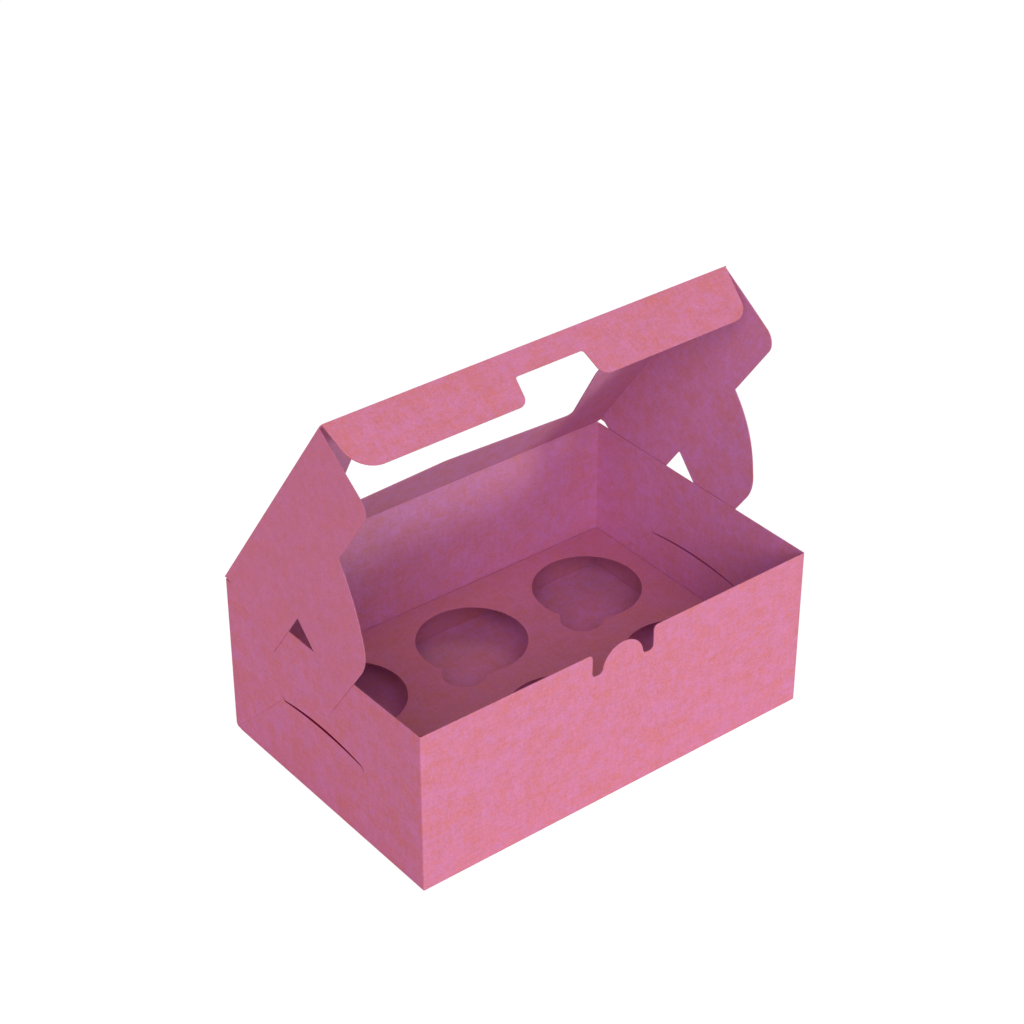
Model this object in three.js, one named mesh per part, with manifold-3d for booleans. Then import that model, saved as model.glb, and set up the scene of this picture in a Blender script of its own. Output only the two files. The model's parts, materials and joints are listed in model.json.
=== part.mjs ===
// Pastry box: a folding carton of thin board with a windowed lid, and the six-hole insert that stands in it.
// Millimetres, +Z up. The origin is the middle of the underside, the front faces -Y and the hinge is at the back.
import * as THREE from "three";
import { mergeVertices } from "three/addons/utils/BufferGeometryUtils.js";
import Module from "manifold-3d";

const wasm = await Module();
wasm.setup();

// Board, the clearance between closed pieces, and the rounding of the tray's and insert's folds
const board = 0.5;
const gap = 0.3;
const uprightFoldRadius = 1.1;
const levelFoldRadius = 0.8;

// Tray, outside sizes
const trayWidth = 240;
const trayDepth = 161;
const trayHeight = 92.5;

// How far the lid stands open, and how far its tuck flap and wings are folded from the lid's plane
const lidOpenDeg = 55;
const flapFoldDeg = 85.5;
const wingFoldDeg = 90;

// Lid window: a rectangle whose four sides each dip inwards to a blunt point at the middle
const windowSideMargin = 34.1;
const windowEndMargin = 29.9;
const windowSideDip = 8.4;
const windowEndDip = 9;
const windowCornerRadius = 3;
const windowDipRadius = 25;

// Tuck flap on the lid's front fold, with a recess that leaves a narrow bridge for the catch
const flapDepth = 28.3;
const flapEndSetback = 0.2;
const flapEndTaper = 2.6;
const flapCornerRadius = 12;
const bridgeDepth = 13.2;
const recessHalfWidth = 20.1;
const recessFlare = 1.6;
const recessInnerRadius = 1.8;
const recessOuterRadius = 5.5;

// Wings on the lid's side folds: a straight band, then a tongue whose front edge swings about the hinge
const wingBand = 46.2;
const wingFrontSetback = 0.8;
const wingFrontTaper = 0.6;
const wingFrontRadius = 8.5;
const wingHeelSetback = 1;
const wingRearSetback = 3.8;
const wingRearRise = 3;
const wingRearRadius = 3;
const tongueReach = 90.2;
const tongueFrontRadius = 122.6;
const tongueBlendRadius = 21.5;
const tongueRootRear = 47;
const tongueRootRadius = 0.8;
const tongueNeck = 40.8;
const tongueNeckReach = 70;
const tongueNeckRadius = 6;
const tongueHeel = 26;
const tongueHeelReach = 82;
const tongueHeelRadius = 5;

// Slit in each side panel that takes the tongue, and the score from each end of it to the bottom corner
const slitLength = 68;
const slitWidth = 0.9;
const slitArch = 2.9;
const slitEndLevel = 44.8;
const scoreWidth = 0.6;
const scoreDepth = 0.12;

// Front panel: a notch in the top edge with a half-disc catch standing in it
const notchHalfWidth = 19.2;
const notchDepth = 14;
const notchLipRadius = 2.6;
const notchFloorRadius = 2.2;
const catchRadius = 13;
const catchTopDrop = 0.2;

// Insert: a platform on four folded legs, with round holes that each have a finger lobe
const insertTop = 24.4;
const insertCornerCut = 1.6;
const holeRadius = 29.5;
const holePitchX = 78;
const holePitchY = 76;
const holeColumns = 3;
const holeRows = 2;
const lobeRadius = 11.3;
const lobeDirectionDeg = 225;

// The finest step of a round edge: how far its facets may lie inside the true curve
const facetSag = 0.03;

// Fold lines of the lid, all in the middle of the board's thickness
const halfBoard = board / 2;
const foldClearance = halfBoard + gap;
const hingeY = trayDepth / 2 - halfBoard;
const hingeZ = trayHeight + foldClearance;
const lidLength = trayDepth + gap;
const lidHalfWidth = trayWidth / 2 + foldClearance;

const radians = THREE.MathUtils.degToRad;

// Points of an arc about (x, y), both ends included.
function arc(x, y, radius, from, to) {
  const widest = 2 * Math.acos(1 - Math.min(facetSag / radius, 0.3));
  const steps = Math.max(2, Math.ceil(Math.abs(to - from) / widest));
  return Array.from({ length: steps + 1 }, (_, i) => {
    const angle = from + ((to - from) * i) / steps;
    return new THREE.Vector2(x + radius * Math.cos(angle), y + radius * Math.sin(angle));
  });
}

// The points of a corner {x, y, r} rounded to radius r between the points before and after it.
function roundedCorner(before, corner, after) {
  const here = new THREE.Vector2(corner.x, corner.y);
  if (!corner.r) return [here];
  const inward = before.clone().sub(here).normalize();
  const outward = after.clone().sub(here).normalize();
  const half = Math.acos(THREE.MathUtils.clamp(inward.dot(outward), -1, 1)) / 2;
  const tangent = corner.r / Math.tan(half);
  const middle = inward.clone().add(outward).normalize();
  const centre = here.clone().addScaledVector(middle, corner.r / Math.sin(half));
  const start = here.clone().addScaledVector(inward, tangent).sub(centre);
  const turn = Math.PI - 2 * half;
  const from = start.angle();
  const to = inward.cross(outward) > 0 ? from - turn : from + turn;
  return arc(centre.x, centre.y, corner.r, from, to);
}

// A closed outline from corners {x, y, r} and ready-made runs of points, in order round the edge.
function outline(items) {
  const first = (item) => (Array.isArray(item) ? item[0] : new THREE.Vector2(item.x, item.y));
  const last = (item) => (Array.isArray(item) ? item.at(-1) : new THREE.Vector2(item.x, item.y));
  const points = items.flatMap((item, i) => {
    if (Array.isArray(item)) return item;
    const before = items[(i + items.length - 1) % items.length];
    const after = items[(i + 1) % items.length];
    return roundedCorner(last(before), item, first(after));
  });
  return new THREE.Shape(points);
}

function rectangle(x0, y0, x1, y1, r = 0) {
  return outline([{ x: x0, y: y0, r }, { x: x1, y: y0, r }, { x: x1, y: y1, r }, { x: x0, y: y1, r }]);
}

// A flat piece of the given thickness, drawn in X and Y and centred on Z.
function plate(shape, thickness = board) {
  const geometry = new THREE.ExtrudeGeometry(shape, { depth: thickness, bevelEnabled: false });
  return geometry.translate(0, 0, -thickness / 2);
}

// Stands a plate up so that its drawing lies in X and Z, seen from the front.
function facingFront(geometry) {
  return geometry.rotateX(Math.PI / 2);
}

// Stands a plate up so that its drawing lies in Y and Z, seen from the right.
function facingSide(geometry) {
  return geometry.rotateX(Math.PI / 2).rotateZ(Math.PI / 2);
}

// The closed solid of a geometry, ready to be joined or cut.
function solid(geometry) {
  const bare = geometry.clone();
  bare.deleteAttribute("normal");
  bare.deleteAttribute("uv");
  const merged = mergeVertices(bare, 1e-4);
  return new wasm.Manifold(
    new wasm.Mesh({
      numProp: 3,
      vertProperties: merged.attributes.position.array,
      triVerts: new Uint32Array(merged.index.array),
    }),
  );
}

function geometryOf(body) {
  const mesh = body.getMesh();
  const geometry = new THREE.BufferGeometry();
  geometry.setAttribute("position", new THREE.BufferAttribute(mesh.vertProperties, 3));
  geometry.setIndex(new THREE.BufferAttribute(mesh.triVerts, 1));
  geometry.computeVertexNormals();
  return geometry;
}

// An upright block with round vertical folds and a round lower edge, its underside at the base level.
function foldedBlock(halfX, halfY, base, height, uprightRadius, levelRadius) {
  const footprint = rectangle(-halfX, -halfY, halfX, halfY, uprightRadius);
  const block = new THREE.ExtrudeGeometry(footprint, {
    depth: height,
    bevelThickness: levelRadius,
    bevelSize: levelRadius,
    bevelOffset: -levelRadius,
    bevelSegments: 3,
  });
  return solid(block.translate(0, 0, base + levelRadius));
}

// A folded shell with a floor at z = 0 and an open top at the given height.
function foldedShell(halfX, halfY, height) {
  const tall = height + trayHeight;
  const outside = foldedBlock(halfX, halfY, 0, tall, uprightFoldRadius, levelFoldRadius);
  const innerUpright = uprightFoldRadius - board;
  const innerLevel = levelFoldRadius - board;
  const inside = foldedBlock(halfX - board, halfY - board, board, tall, innerUpright, innerLevel);
  const above = new THREE.BoxGeometry(3 * halfX, 3 * halfY, 2 * tall).translate(0, 0, height + tall);
  return outside.subtract(inside).subtract(solid(above));
}

// The notch is everything above its floor between its walls, less the half disc of the catch.
function notchShape() {
  const floor = trayHeight - notchDepth;
  const over = trayHeight + board;
  const lip = notchHalfWidth + notchLipRadius;
  const lipZ = trayHeight - notchLipRadius;
  const catchZ = trayHeight - catchTopDrop - catchRadius;
  return outline([
    { x: lip, y: over },
    { x: -lip, y: over },
    arc(-lip, lipZ, notchLipRadius, Math.PI / 2, 0),
    { x: -notchHalfWidth, y: floor, r: notchFloorRadius },
    { x: -catchRadius, y: floor },
    arc(0, catchZ, catchRadius, Math.PI, 0),
    { x: catchRadius, y: floor },
    { x: notchHalfWidth, y: floor, r: notchFloorRadius },
    arc(lip, lipZ, notchLipRadius, Math.PI, Math.PI / 2),
  ]);
}

// The slit is a thin band along an arc that rises by slitArch in its middle.
function slitShape() {
  const bow = slitLength ** 2 / (8 * slitArch) + slitArch / 2;
  const centreZ = slitEndLevel + slitArch - bow;
  const spread = Math.asin(slitLength / 2 / bow);
  const up = Math.PI / 2;
  return outline([
    arc(0, centreZ, bow + slitWidth / 2, up - spread, up + spread),
    arc(0, centreZ, bow - slitWidth / 2, up + spread, up - spread),
  ]);
}

// A shallow score on the outside of a side panel, from the end of the slit down to the bottom corner.
function score(sideX, endY) {
  const foot = new THREE.Vector2(Math.sign(endY) * (trayDepth / 2 - levelFoldRadius), levelFoldRadius);
  const head = new THREE.Vector2(endY + Math.sign(endY) * slitWidth, slitEndLevel - slitWidth);
  const run = head.clone().sub(foot);
  const groove = new THREE.BoxGeometry(2 * scoreDepth, run.length(), scoreWidth);
  groove.rotateX(run.angle());
  return groove.translate(sideX, (foot.x + head.x) / 2, (foot.y + head.y) / 2);
}

function trayGeometry() {
  const notch = facingFront(plate(notchShape(), 4 * board));
  const slits = facingSide(plate(slitShape(), 2 * trayWidth));
  let tray = foldedShell(trayWidth / 2, trayDepth / 2, trayHeight)
    .subtract(solid(notch.translate(0, halfBoard - trayDepth / 2, 0)))
    .subtract(solid(slits));
  for (const sideX of [-trayWidth / 2, trayWidth / 2]) {
    for (const endY of [-slitLength / 2, slitLength / 2]) {
      tray = tray.subtract(solid(score(sideX, endY)));
    }
  }
  return geometryOf(tray);
}

// The window in the lid's own frame: X across, -Y from the hinge to the front fold.
function windowShape() {
  const halfX = lidHalfWidth - windowSideMargin;
  const near = -windowEndMargin;
  const far = windowEndMargin - lidLength;
  const middle = -lidLength / 2;
  return outline([
    { x: -halfX, y: far, r: windowCornerRadius },
    { x: 0, y: far + windowEndDip, r: windowDipRadius },
    { x: halfX, y: far, r: windowCornerRadius },
    { x: halfX - windowSideDip, y: middle, r: windowDipRadius },
    { x: halfX, y: near, r: windowCornerRadius },
    { x: 0, y: near - windowEndDip, r: windowDipRadius },
    { x: -halfX, y: near, r: windowCornerRadius },
    { x: windowSideDip - halfX, y: middle, r: windowDipRadius },
  ]);
}

// Half-round edges along the lid's four fold lines, as wide as the board is thick.
function foldBeads() {
  const section = outline([arc(0, 0, halfBoard, 0, 2 * Math.PI).slice(1)]);
  const across = facingSide(plate(section, 2 * lidHalfWidth));
  const along = facingFront(plate(section, lidLength));
  return [
    across.clone(),
    across.clone().translate(0, -lidLength, 0),
    along.clone().translate(-lidHalfWidth, -lidLength / 2, 0),
    along.clone().translate(lidHalfWidth, -lidLength / 2, 0),
  ];
}

function lidGeometry() {
  const panel = rectangle(-lidHalfWidth, -lidLength, lidHalfWidth, 0);
  panel.holes.push(windowShape());
  const joined = foldBeads().reduce((lid, bead) => lid.add(solid(bead)), solid(plate(panel)));
  return geometryOf(joined);
}

// The tuck flap, drawn flat: X across, -Y away from its fold.
function flapGeometry() {
  const root = lidHalfWidth - flapEndSetback;
  const tip = root - flapEndTaper;
  const mouth = recessHalfWidth + recessFlare;
  return plate(
    outline([
      { x: -root, y: -foldClearance },
      { x: -tip, y: -flapDepth, r: flapCornerRadius },
      { x: -mouth, y: -flapDepth, r: recessOuterRadius },
      { x: -recessHalfWidth, y: -bridgeDepth, r: recessInnerRadius },
      { x: recessHalfWidth, y: -bridgeDepth, r: recessInnerRadius },
      { x: mouth, y: -flapDepth, r: recessOuterRadius },
      { x: tip, y: -flapDepth, r: flapCornerRadius },
      { x: root, y: -foldClearance },
    ]),
  );
}

// A wing, drawn flat: u runs from the hinge to the front along its fold, v away from the fold.
function wingGeometry() {
  const front = lidLength - wingFrontSetback;
  const blendV = tongueReach - tongueBlendRadius;
  const blendU = Math.sqrt((tongueFrontRadius - tongueBlendRadius) ** 2 - blendV ** 2);
  const rootAngle = Math.asin(wingBand / tongueFrontRadius);
  const blendAngle = Math.atan2(blendV, blendU);
  const shape = outline([
    { x: wingHeelSetback, y: foldClearance },
    { x: front, y: foldClearance },
    { x: front - wingFrontTaper, y: wingBand, r: wingFrontRadius },
    arc(0, 0, tongueFrontRadius, rootAngle, blendAngle),
    arc(blendU, blendV, tongueBlendRadius, blendAngle, Math.PI / 2).slice(1),
    { x: tongueHeel, y: tongueReach, r: tongueHeelRadius / 2 },
    { x: tongueHeel, y: tongueHeelReach, r: tongueHeelRadius },
    { x: tongueNeck, y: tongueNeckReach, r: tongueNeckRadius },
    { x: tongueRootRear, y: wingBand, r: tongueRootRadius },
    { x: wingRearSetback, y: wingBand, r: wingRearRadius },
    { x: wingRearSetback, y: wingRearRise, r: wingRearRadius / 2 },
  ]);
  return plate(shape).rotateZ(-Math.PI / 2);
}

// One hole of the insert with its finger lobe, as a cutter through the platform.
function holeCutter(x, y) {
  const lobe = radians(lobeDirectionDeg);
  const disc = (cx, cy, radius) => outline([arc(cx, cy, radius, 0, 2 * Math.PI).slice(1)]);
  const round = plate(disc(x, y, holeRadius), insertTop).translate(0, 0, insertTop);
  const lobeX = x + holeRadius * Math.cos(lobe);
  const lobeY = y + holeRadius * Math.sin(lobe);
  const finger = plate(disc(lobeX, lobeY, lobeRadius), insertTop).translate(0, 0, insertTop);
  return solid(round).add(solid(finger));
}

// The insert, with its platform's top at z = insertTop and its legs clear of the tray's floor.
function insertGeometry() {
  const halfX = trayWidth / 2 - board - gap;
  const halfY = trayDepth / 2 - board - gap;
  const height = insertTop - board - gap;
  const shell = geometryOf(foldedShell(halfX, halfY, height));
  let insert = solid(shell.rotateX(Math.PI).translate(0, 0, insertTop));
  for (let column = 0; column < holeColumns; column += 1) {
    for (let row = 0; row < holeRows; row += 1) {
      const x = (column - (holeColumns - 1) / 2) * holePitchX;
      const y = (row - (holeRows - 1) / 2) * holePitchY;
      insert = insert.subtract(holeCutter(x, y));
    }
  }
  for (const x of [-halfX, halfX]) {
    for (const y of [-halfY, halfY]) {
      const column = new THREE.BoxGeometry(2 * insertCornerCut, 2 * insertCornerCut, 2 * insertTop);
      insert = insert.subtract(solid(column.translate(x, y, -uprightFoldRadius)));
    }
  }
  return geometryOf(insert);
}

// Uncoated pink board: the outside, the deeper inside that the lid's pieces show, and the insert.
function boardColour(hex) {
  return new THREE.MeshStandardMaterial({ color: hex, roughness: 0.85, metalness: 0 });
}

function named(name, geometry, material) {
  const mesh = new THREE.Mesh(geometry, material);
  mesh.name = name;
  return mesh;
}

const tray = named("tray", trayGeometry(), boardColour(0xdb83a4));
const insert = named("cupcake_insert", insertGeometry(), boardColour(0xd98aa6));
const lidPanel = named("lid_panel", lidGeometry(), boardColour(0xd07c9c));
const tuckFlap = named("tuck_flap", flapGeometry(), boardColour(0xd4799a));
const rightWing = named("right_wing", wingGeometry(), boardColour(0xcf7697));
const leftWing = named("left_wing", wingGeometry().rotateY(Math.PI), boardColour(0xcf7697));

const flapFold = new THREE.Group();
flapFold.position.set(0, -lidLength, 0);
flapFold.rotation.x = radians(flapFoldDeg);
flapFold.add(tuckFlap);

const rightFold = new THREE.Group();
rightFold.position.set(lidHalfWidth, 0, 0);
rightFold.rotation.y = radians(wingFoldDeg);
rightFold.add(rightWing);

const leftFold = new THREE.Group();
leftFold.position.set(-lidHalfWidth, 0, 0);
leftFold.rotation.y = -radians(wingFoldDeg);
leftFold.add(leftWing);

const lid = new THREE.Group();
lid.position.set(0, hingeY, hingeZ);
lid.rotation.x = -radians(lidOpenDeg);
lid.add(lidPanel, flapFold, rightFold, leftFold);

const group = new THREE.Group();
group.add(tray, insert, lid);

export default group;
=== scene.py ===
"""A pastry box of pink board with its windowed lid standing open, in metres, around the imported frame."""
import json
import math

import bmesh
import bpy
import numpy as np
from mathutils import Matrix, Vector
from mathutils.geometry import delaunay_2d_cdt


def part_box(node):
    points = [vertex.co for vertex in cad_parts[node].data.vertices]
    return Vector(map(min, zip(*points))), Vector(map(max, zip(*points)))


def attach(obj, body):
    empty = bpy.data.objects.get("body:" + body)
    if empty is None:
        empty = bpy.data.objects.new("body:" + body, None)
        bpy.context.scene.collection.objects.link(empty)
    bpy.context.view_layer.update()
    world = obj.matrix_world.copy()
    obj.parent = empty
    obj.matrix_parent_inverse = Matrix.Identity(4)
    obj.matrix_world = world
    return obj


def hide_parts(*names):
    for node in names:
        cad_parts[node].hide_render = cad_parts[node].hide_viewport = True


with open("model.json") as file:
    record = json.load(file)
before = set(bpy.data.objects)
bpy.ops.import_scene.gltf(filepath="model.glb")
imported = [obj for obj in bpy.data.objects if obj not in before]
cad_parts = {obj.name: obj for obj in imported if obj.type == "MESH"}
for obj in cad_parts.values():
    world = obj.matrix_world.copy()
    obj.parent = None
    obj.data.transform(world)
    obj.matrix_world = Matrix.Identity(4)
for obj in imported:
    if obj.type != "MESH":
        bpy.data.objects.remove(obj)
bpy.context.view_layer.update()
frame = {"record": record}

# Camera
# The photographer stood to the front left of the box, about 1.3 m away, and looked down on it with a
# long lens. The place, turn, tilt and lens were fitted to the box's corners.
CAMERA_PLACE = (-0.64809, -0.81551, 0.80895)
CAMERA_TURN_DEG = -38.33
CAMERA_TILT_DEG = 33.33
SENSOR_MM = 36.0
LENS_MM = 89.38
CLIP_END = 20.0

camera_data = bpy.data.cameras.new("camera")
camera_data.sensor_width = SENSOR_MM
camera_data.lens = LENS_MM
camera_data.clip_end = CLIP_END
camera = bpy.data.objects.new("camera", camera_data)
turn = math.radians(CAMERA_TURN_DEG)
tilt = math.radians(CAMERA_TILT_DEG)
backwards = Vector((math.sin(turn) * math.cos(tilt), -math.cos(turn) * math.cos(tilt), math.sin(tilt)))
camera.rotation_euler = (-backwards).to_track_quat("-Z", "Y").to_euler()
camera.location = CAMERA_PLACE
bpy.context.scene.collection.objects.link(camera)
bpy.context.scene.camera = camera

# Board
# The whole carton is cut from one grade of uncoated paperboard, dyed pink right through and 0.5 mm
# thick. Its faces are flat and matt, its die-cut edges are a little soft, and its folds are rounded.
MM = 0.001
BOARD = 0.5
HALF = BOARD / 2
EDGE_SOFTNESS = 0.09
FOLD_RADIUS = 0.65
FOLD_STEPS = 6
ARC_SAG = 0.006
ARC_SAG_SHARE = 0.2
ARC_STEPS = 3
SAME_PLACE = 1e-6
TRIANGLE_TOLERANCE = 1e-7
WELD_DISTANCE = 2e-7
SHORTEST_EDGE = 1e-7
SHARP_FOLD_DEG = 40


def linear(hex_colour):
    """sRGB hex to linear RGBA: c / 12.92 up to 0.04045, and ((c + 0.055) / 1.055) ** 2.4 above it."""
    values = [int(hex_colour[i:i + 2], 16) / 255 for i in (1, 3, 5)]
    return [v / 12.92 if v <= 0.04045 else ((v + 0.055) / 1.055) ** 2.4 for v in values] + [1.0]


def arc(centre, radius, start, end):
    """Points of a circle, centre + radius * (cos a, sin a), for angles a from start to end in degrees.
    A step of 2 acos(1 - sag / radius) leaves its chord's middle by the sag inside the circle."""
    start, end = np.radians(start), np.radians(end)
    widest = 2 * np.arccos(1 - min(ARC_SAG / radius, ARC_SAG_SHARE))
    steps = max(ARC_STEPS, int(np.ceil(abs(end - start) / widest)))
    angles = np.linspace(start, end, steps + 1)
    return np.array(centre) + radius * np.column_stack([np.cos(angles), np.sin(angles)])


def rounded(before, corner, after, radius):
    """A corner rounded to a radius: its arc touches both sides at radius / tan(half the corner's angle)."""
    corner = np.array(corner, float)
    if not radius:
        return corner[None]
    to_before = (before - corner) / np.linalg.norm(before - corner)
    to_after = (after - corner) / np.linalg.norm(after - corner)
    half = np.arccos(np.clip(to_before @ to_after, -1, 1)) / 2
    middle = (to_before + to_after) / np.linalg.norm(to_before + to_after)
    centre = corner + middle * radius / np.sin(half)
    first = corner + to_before * radius / np.tan(half) - centre
    start = np.degrees(np.arctan2(first[1], first[0]))
    sweep = 180 - 2 * np.degrees(half)
    clockwise = to_before[0] * to_after[1] - to_before[1] * to_after[0] > 0
    return arc(centre, radius, start, start - sweep if clockwise else start + sweep)


def outline(items):
    """A closed loop from corners (x, y, radius) and ready-made runs of points, in order round the edge."""
    ends = [(i[0], i[-1]) if isinstance(i, np.ndarray) else (np.array(i[:2], float),) * 2 for i in items]
    runs = []
    for k, item in enumerate(items):
        if isinstance(item, np.ndarray):
            runs.append(item)
        else:
            after = ends[(k + 1) % len(items)][0]
            runs.append(rounded(ends[k - 1][1], item[:2], after, item[2]))
    return np.vstack(runs)


def divided(loop, longest):
    """The closed loop with each side split evenly into pieces no longer than the given length."""
    following = np.roll(loop, -1, axis=0)
    pieces = np.ceil(np.linalg.norm(following - loop, axis=1) / longest).astype(int).clip(1)
    start = np.repeat(loop, pieces, axis=0)
    step = np.repeat((following - loop) / pieces[:, None], pieces, axis=0)
    count = np.arange(len(start)) - np.repeat(np.cumsum(pieces) - pieces, pieces)
    return start + step * count[:, None]


def outwards(loop):
    """Mitred normals of a closed loop, to the right of its direction: (n1 + n2) / (1 + n1 . n2)."""
    along = np.roll(loop, -1, axis=0) - loop
    normal = np.column_stack([along[:, 1], -along[:, 0]])
    normal /= np.linalg.norm(normal, axis=1)[:, None]
    before = np.roll(normal, 1, axis=0)
    return (normal + before) / (1 + (normal * before).sum(axis=1))[:, None]


def inside(points, loop):
    """Even-odd rule: a point is inside where a ray along +x crosses the loop an odd number of times."""
    x, y = points[:, :1], points[:, 1:]
    x0, y0 = loop.T
    x1, y1 = np.roll(loop, -1, axis=0).T
    spans = (y0 > y) != (y1 > y)
    rise = np.where(y1 == y0, 1.0, y1 - y0)
    crossing = x0 + (y - y0) * (x1 - x0) / rise
    return (spans & (x < crossing)).sum(axis=1) % 2 == 1


def distance(points, path, closed=True):
    """Distance from each point to the nearest side of a path."""
    start = path if closed else path[:-1]
    side = np.roll(path, -1, axis=0) - path if closed else path[1:] - path[:-1]
    offset = points[:, None] - start[None]
    share = ((offset * side).sum(axis=2) / (side ** 2).sum(axis=1)).clip(0, 1)
    return np.linalg.norm(offset - share[:, :, None] * side, axis=2).min(axis=1)


def grid(columns, rows, loops, clearance):
    """Every column and row crossing that lies in the first loop, outside the others and clear of all."""
    points = np.array(np.meshgrid(columns, rows)).reshape(2, -1).T
    keep = inside(points, loops[0])
    for hole in loops[1:]:
        keep &= ~inside(points, hole)
    points = points[keep]
    return points[np.min([distance(points, loop) for loop in loops], axis=0) > clearance]


def filled(loops, points):
    """Triangles between the loops and over the inner points, and all the points that they use. They are
    Delaunay triangles that keep every loop's sides, turned so that they run anticlockwise."""
    every = np.vstack(loops + [points])
    edges = []
    base = 0
    for loop in loops:
        edges += [(base + i, base + (i + 1) % len(loop)) for i in range(len(loop))]
        base += len(loop)
    made = delaunay_2d_cdt([Vector(p) for p in every], edges, [], 1, TRIANGLE_TOLERANCE)
    origin = np.array([sources[0] for sources in made[3]])
    triangles = origin[np.array(made[2])]
    centres = every[triangles].mean(axis=1)
    keep = inside(centres, loops[0])
    for hole in loops[1:]:
        keep &= ~inside(centres, hole)
    triangles = triangles[keep]
    a, b, c = every[triangles].transpose(1, 0, 2)
    turned = (b - a)[:, 0] * (c - a)[:, 1] - (b - a)[:, 1] * (c - a)[:, 0] < 0
    triangles[turned] = triangles[turned][:, ::-1]
    return every, triangles


# A shade tone of 1 leaves the board's face colour, and 0 gives a dark red painted shade. The cut edges
# are painted part way to it and the slits' sides all the way, as painted shade in the cuts.
ROUNDED_EDGE_SHADE_TONE = 0.85
CUT_EDGE_SHADE_TONE = 0.5
SLIT_SHADE_TONE = 0.0
CUT_RIM = [(EDGE_SOFTNESS, HALF - EDGE_SOFTNESS, ROUNDED_EDGE_SHADE_TONE), (EDGE_SOFTNESS, 0.0, CUT_EDGE_SHADE_TONE),
           (EDGE_SOFTNESS, EDGE_SOFTNESS - HALF, ROUNDED_EDGE_SHADE_TONE)]
ROUND_TURN = np.radians(np.linspace(15, 165, 11))
FOLD_RIM = [(HALF * math.sin(a), HALF * math.cos(a), 1.0) for a in ROUND_TURN]


def board_shell(loops, points, place, rims, still=None):
    """A closed sheet of board as (vertices, faces, flat coordinates, levels w, shade tones).

    place(a, b, w) carries the flat point (a, b), raised by w from the middle of the thickness, to its
    folded place. The faces lie at w = +-HALF. Round each loop runs a rim, given as (out, w, shade tone)
    steps, and a face's own edge lies back from it by the edge softness on a cut edge, or not at all on
    a fold. The shade tone is painted shade: 1 leaves the board's colour and lower values darken it.
    still marks loop points that stay put, as (no move in a, no move in b).
    """
    inset_loops, ways = [], []
    for loop, rim in zip(loops, rims):
        way = outwards(loop)
        if still:
            fixed_a, fixed_b = still(loop)
            way[fixed_a, 0] = 0
            way[fixed_b, 1] = 0
        ways.append(way)
        inset_loops.append(loop - way * (0 if rim is FOLD_RIM else EDGE_SOFTNESS))
    flat, triangles = filled(inset_loops, points)
    count = len(flat)
    vertices = [place(*flat.T, np.full(count, HALF)), place(*flat.T, np.full(count, -HALF))]
    coordinates = [flat, flat]
    levels = [np.full(count, HALF), np.full(count, -HALF)]
    shade_tones = [np.ones(2 * count)]
    faces = [tuple(t) for t in triangles] + [tuple(t[::-1] + count) for t in triangles]
    total, base = 2 * count, 0
    for inset, way, loop, rim in zip(inset_loops, ways, loops, rims):
        size = len(inset)
        rings = [np.arange(size) + base]
        for out, w, shade_tone in rim:
            ring = inset + way * out
            vertices.append(place(*ring.T, np.full(size, w)))
            coordinates.append(ring)
            levels.append(np.full(size, w))
            shade_tones.append(np.full(size, shade_tone))
            rings.append(np.arange(size) + total)
            total += size
        rings.append(np.arange(size) + base + count)
        sides = np.ones(size, bool)
        if still:
            fixed_a, fixed_b = still(loop)
            sides = ~((fixed_a & np.roll(fixed_a, -1)) | (fixed_b & np.roll(fixed_b, -1)))
        index = np.arange(size)[sides]
        after = (index + 1) % size
        for upper, lower in zip(rings, rings[1:]):
            quads = np.column_stack([upper[index], lower[index], lower[after], upper[after]])
            faces += [tuple(q) for q in quads]
        base += size
    return np.vstack(vertices), faces, np.vstack(coordinates), np.concatenate(levels), np.concatenate(shade_tones)


def board_object(name, shells, material, body, node, blank_start=(0, 0)):
    """One mesh from the shells, welded and facing out, with its painted shade tones and its inner face
    marked.

    blank_start is where the piece's flat origin lies on the unfolded blank, in mm, so that the lid's
    parts each show their own part of the mottle. inner is 0 on the outer face and 1 on the inner one.
    """
    vertices, faces, flat = [], [], []
    base = 0
    inner = np.concatenate([0.5 - shell[3] / BOARD for shell in shells])
    shade_tones = np.concatenate([shell[4] for shell in shells])
    for points, polygons, coordinates, *_ in shells:
        vertices.append(points)
        flat.append(coordinates)
        faces += [tuple(int(i) + base for i in polygon) for polygon in polygons]
        base += len(points)
    vertices, flat = np.vstack(vertices) * MM, (np.vstack(flat) + blank_start) * MM
    mesh = bpy.data.meshes.new(name)
    mesh.from_pydata(vertices.tolist(), [], faces)
    sheet_uv = mesh.uv_layers.new(name="sheet")
    corner = np.empty(len(mesh.loops), int)
    mesh.loops.foreach_get("vertex_index", corner)
    sheet_uv.data.foreach_set("uv", flat[corner].ravel())
    for attribute, values in (("inner", inner), ("shade_tone", shade_tones)):
        mesh.attributes.new(attribute, "FLOAT", "POINT").data.foreach_set("value", values)
    work = bmesh.new()
    work.from_mesh(mesh)
    bmesh.ops.remove_doubles(work, verts=work.verts, dist=WELD_DISTANCE)
    bmesh.ops.dissolve_degenerate(work, edges=work.edges, dist=SHORTEST_EDGE)
    if work.calc_volume(signed=True) < 0:
        bmesh.ops.reverse_faces(work, faces=work.faces)
    work.to_mesh(mesh)
    work.free()
    mesh.shade_smooth()
    mesh.set_sharp_from_angle(angle=math.radians(SHARP_FOLD_DEG))
    piece = bpy.data.objects.new(name, mesh)
    bpy.context.scene.collection.objects.link(piece)
    mesh.materials.append(material)
    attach(piece, body)
    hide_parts(node)


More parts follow.
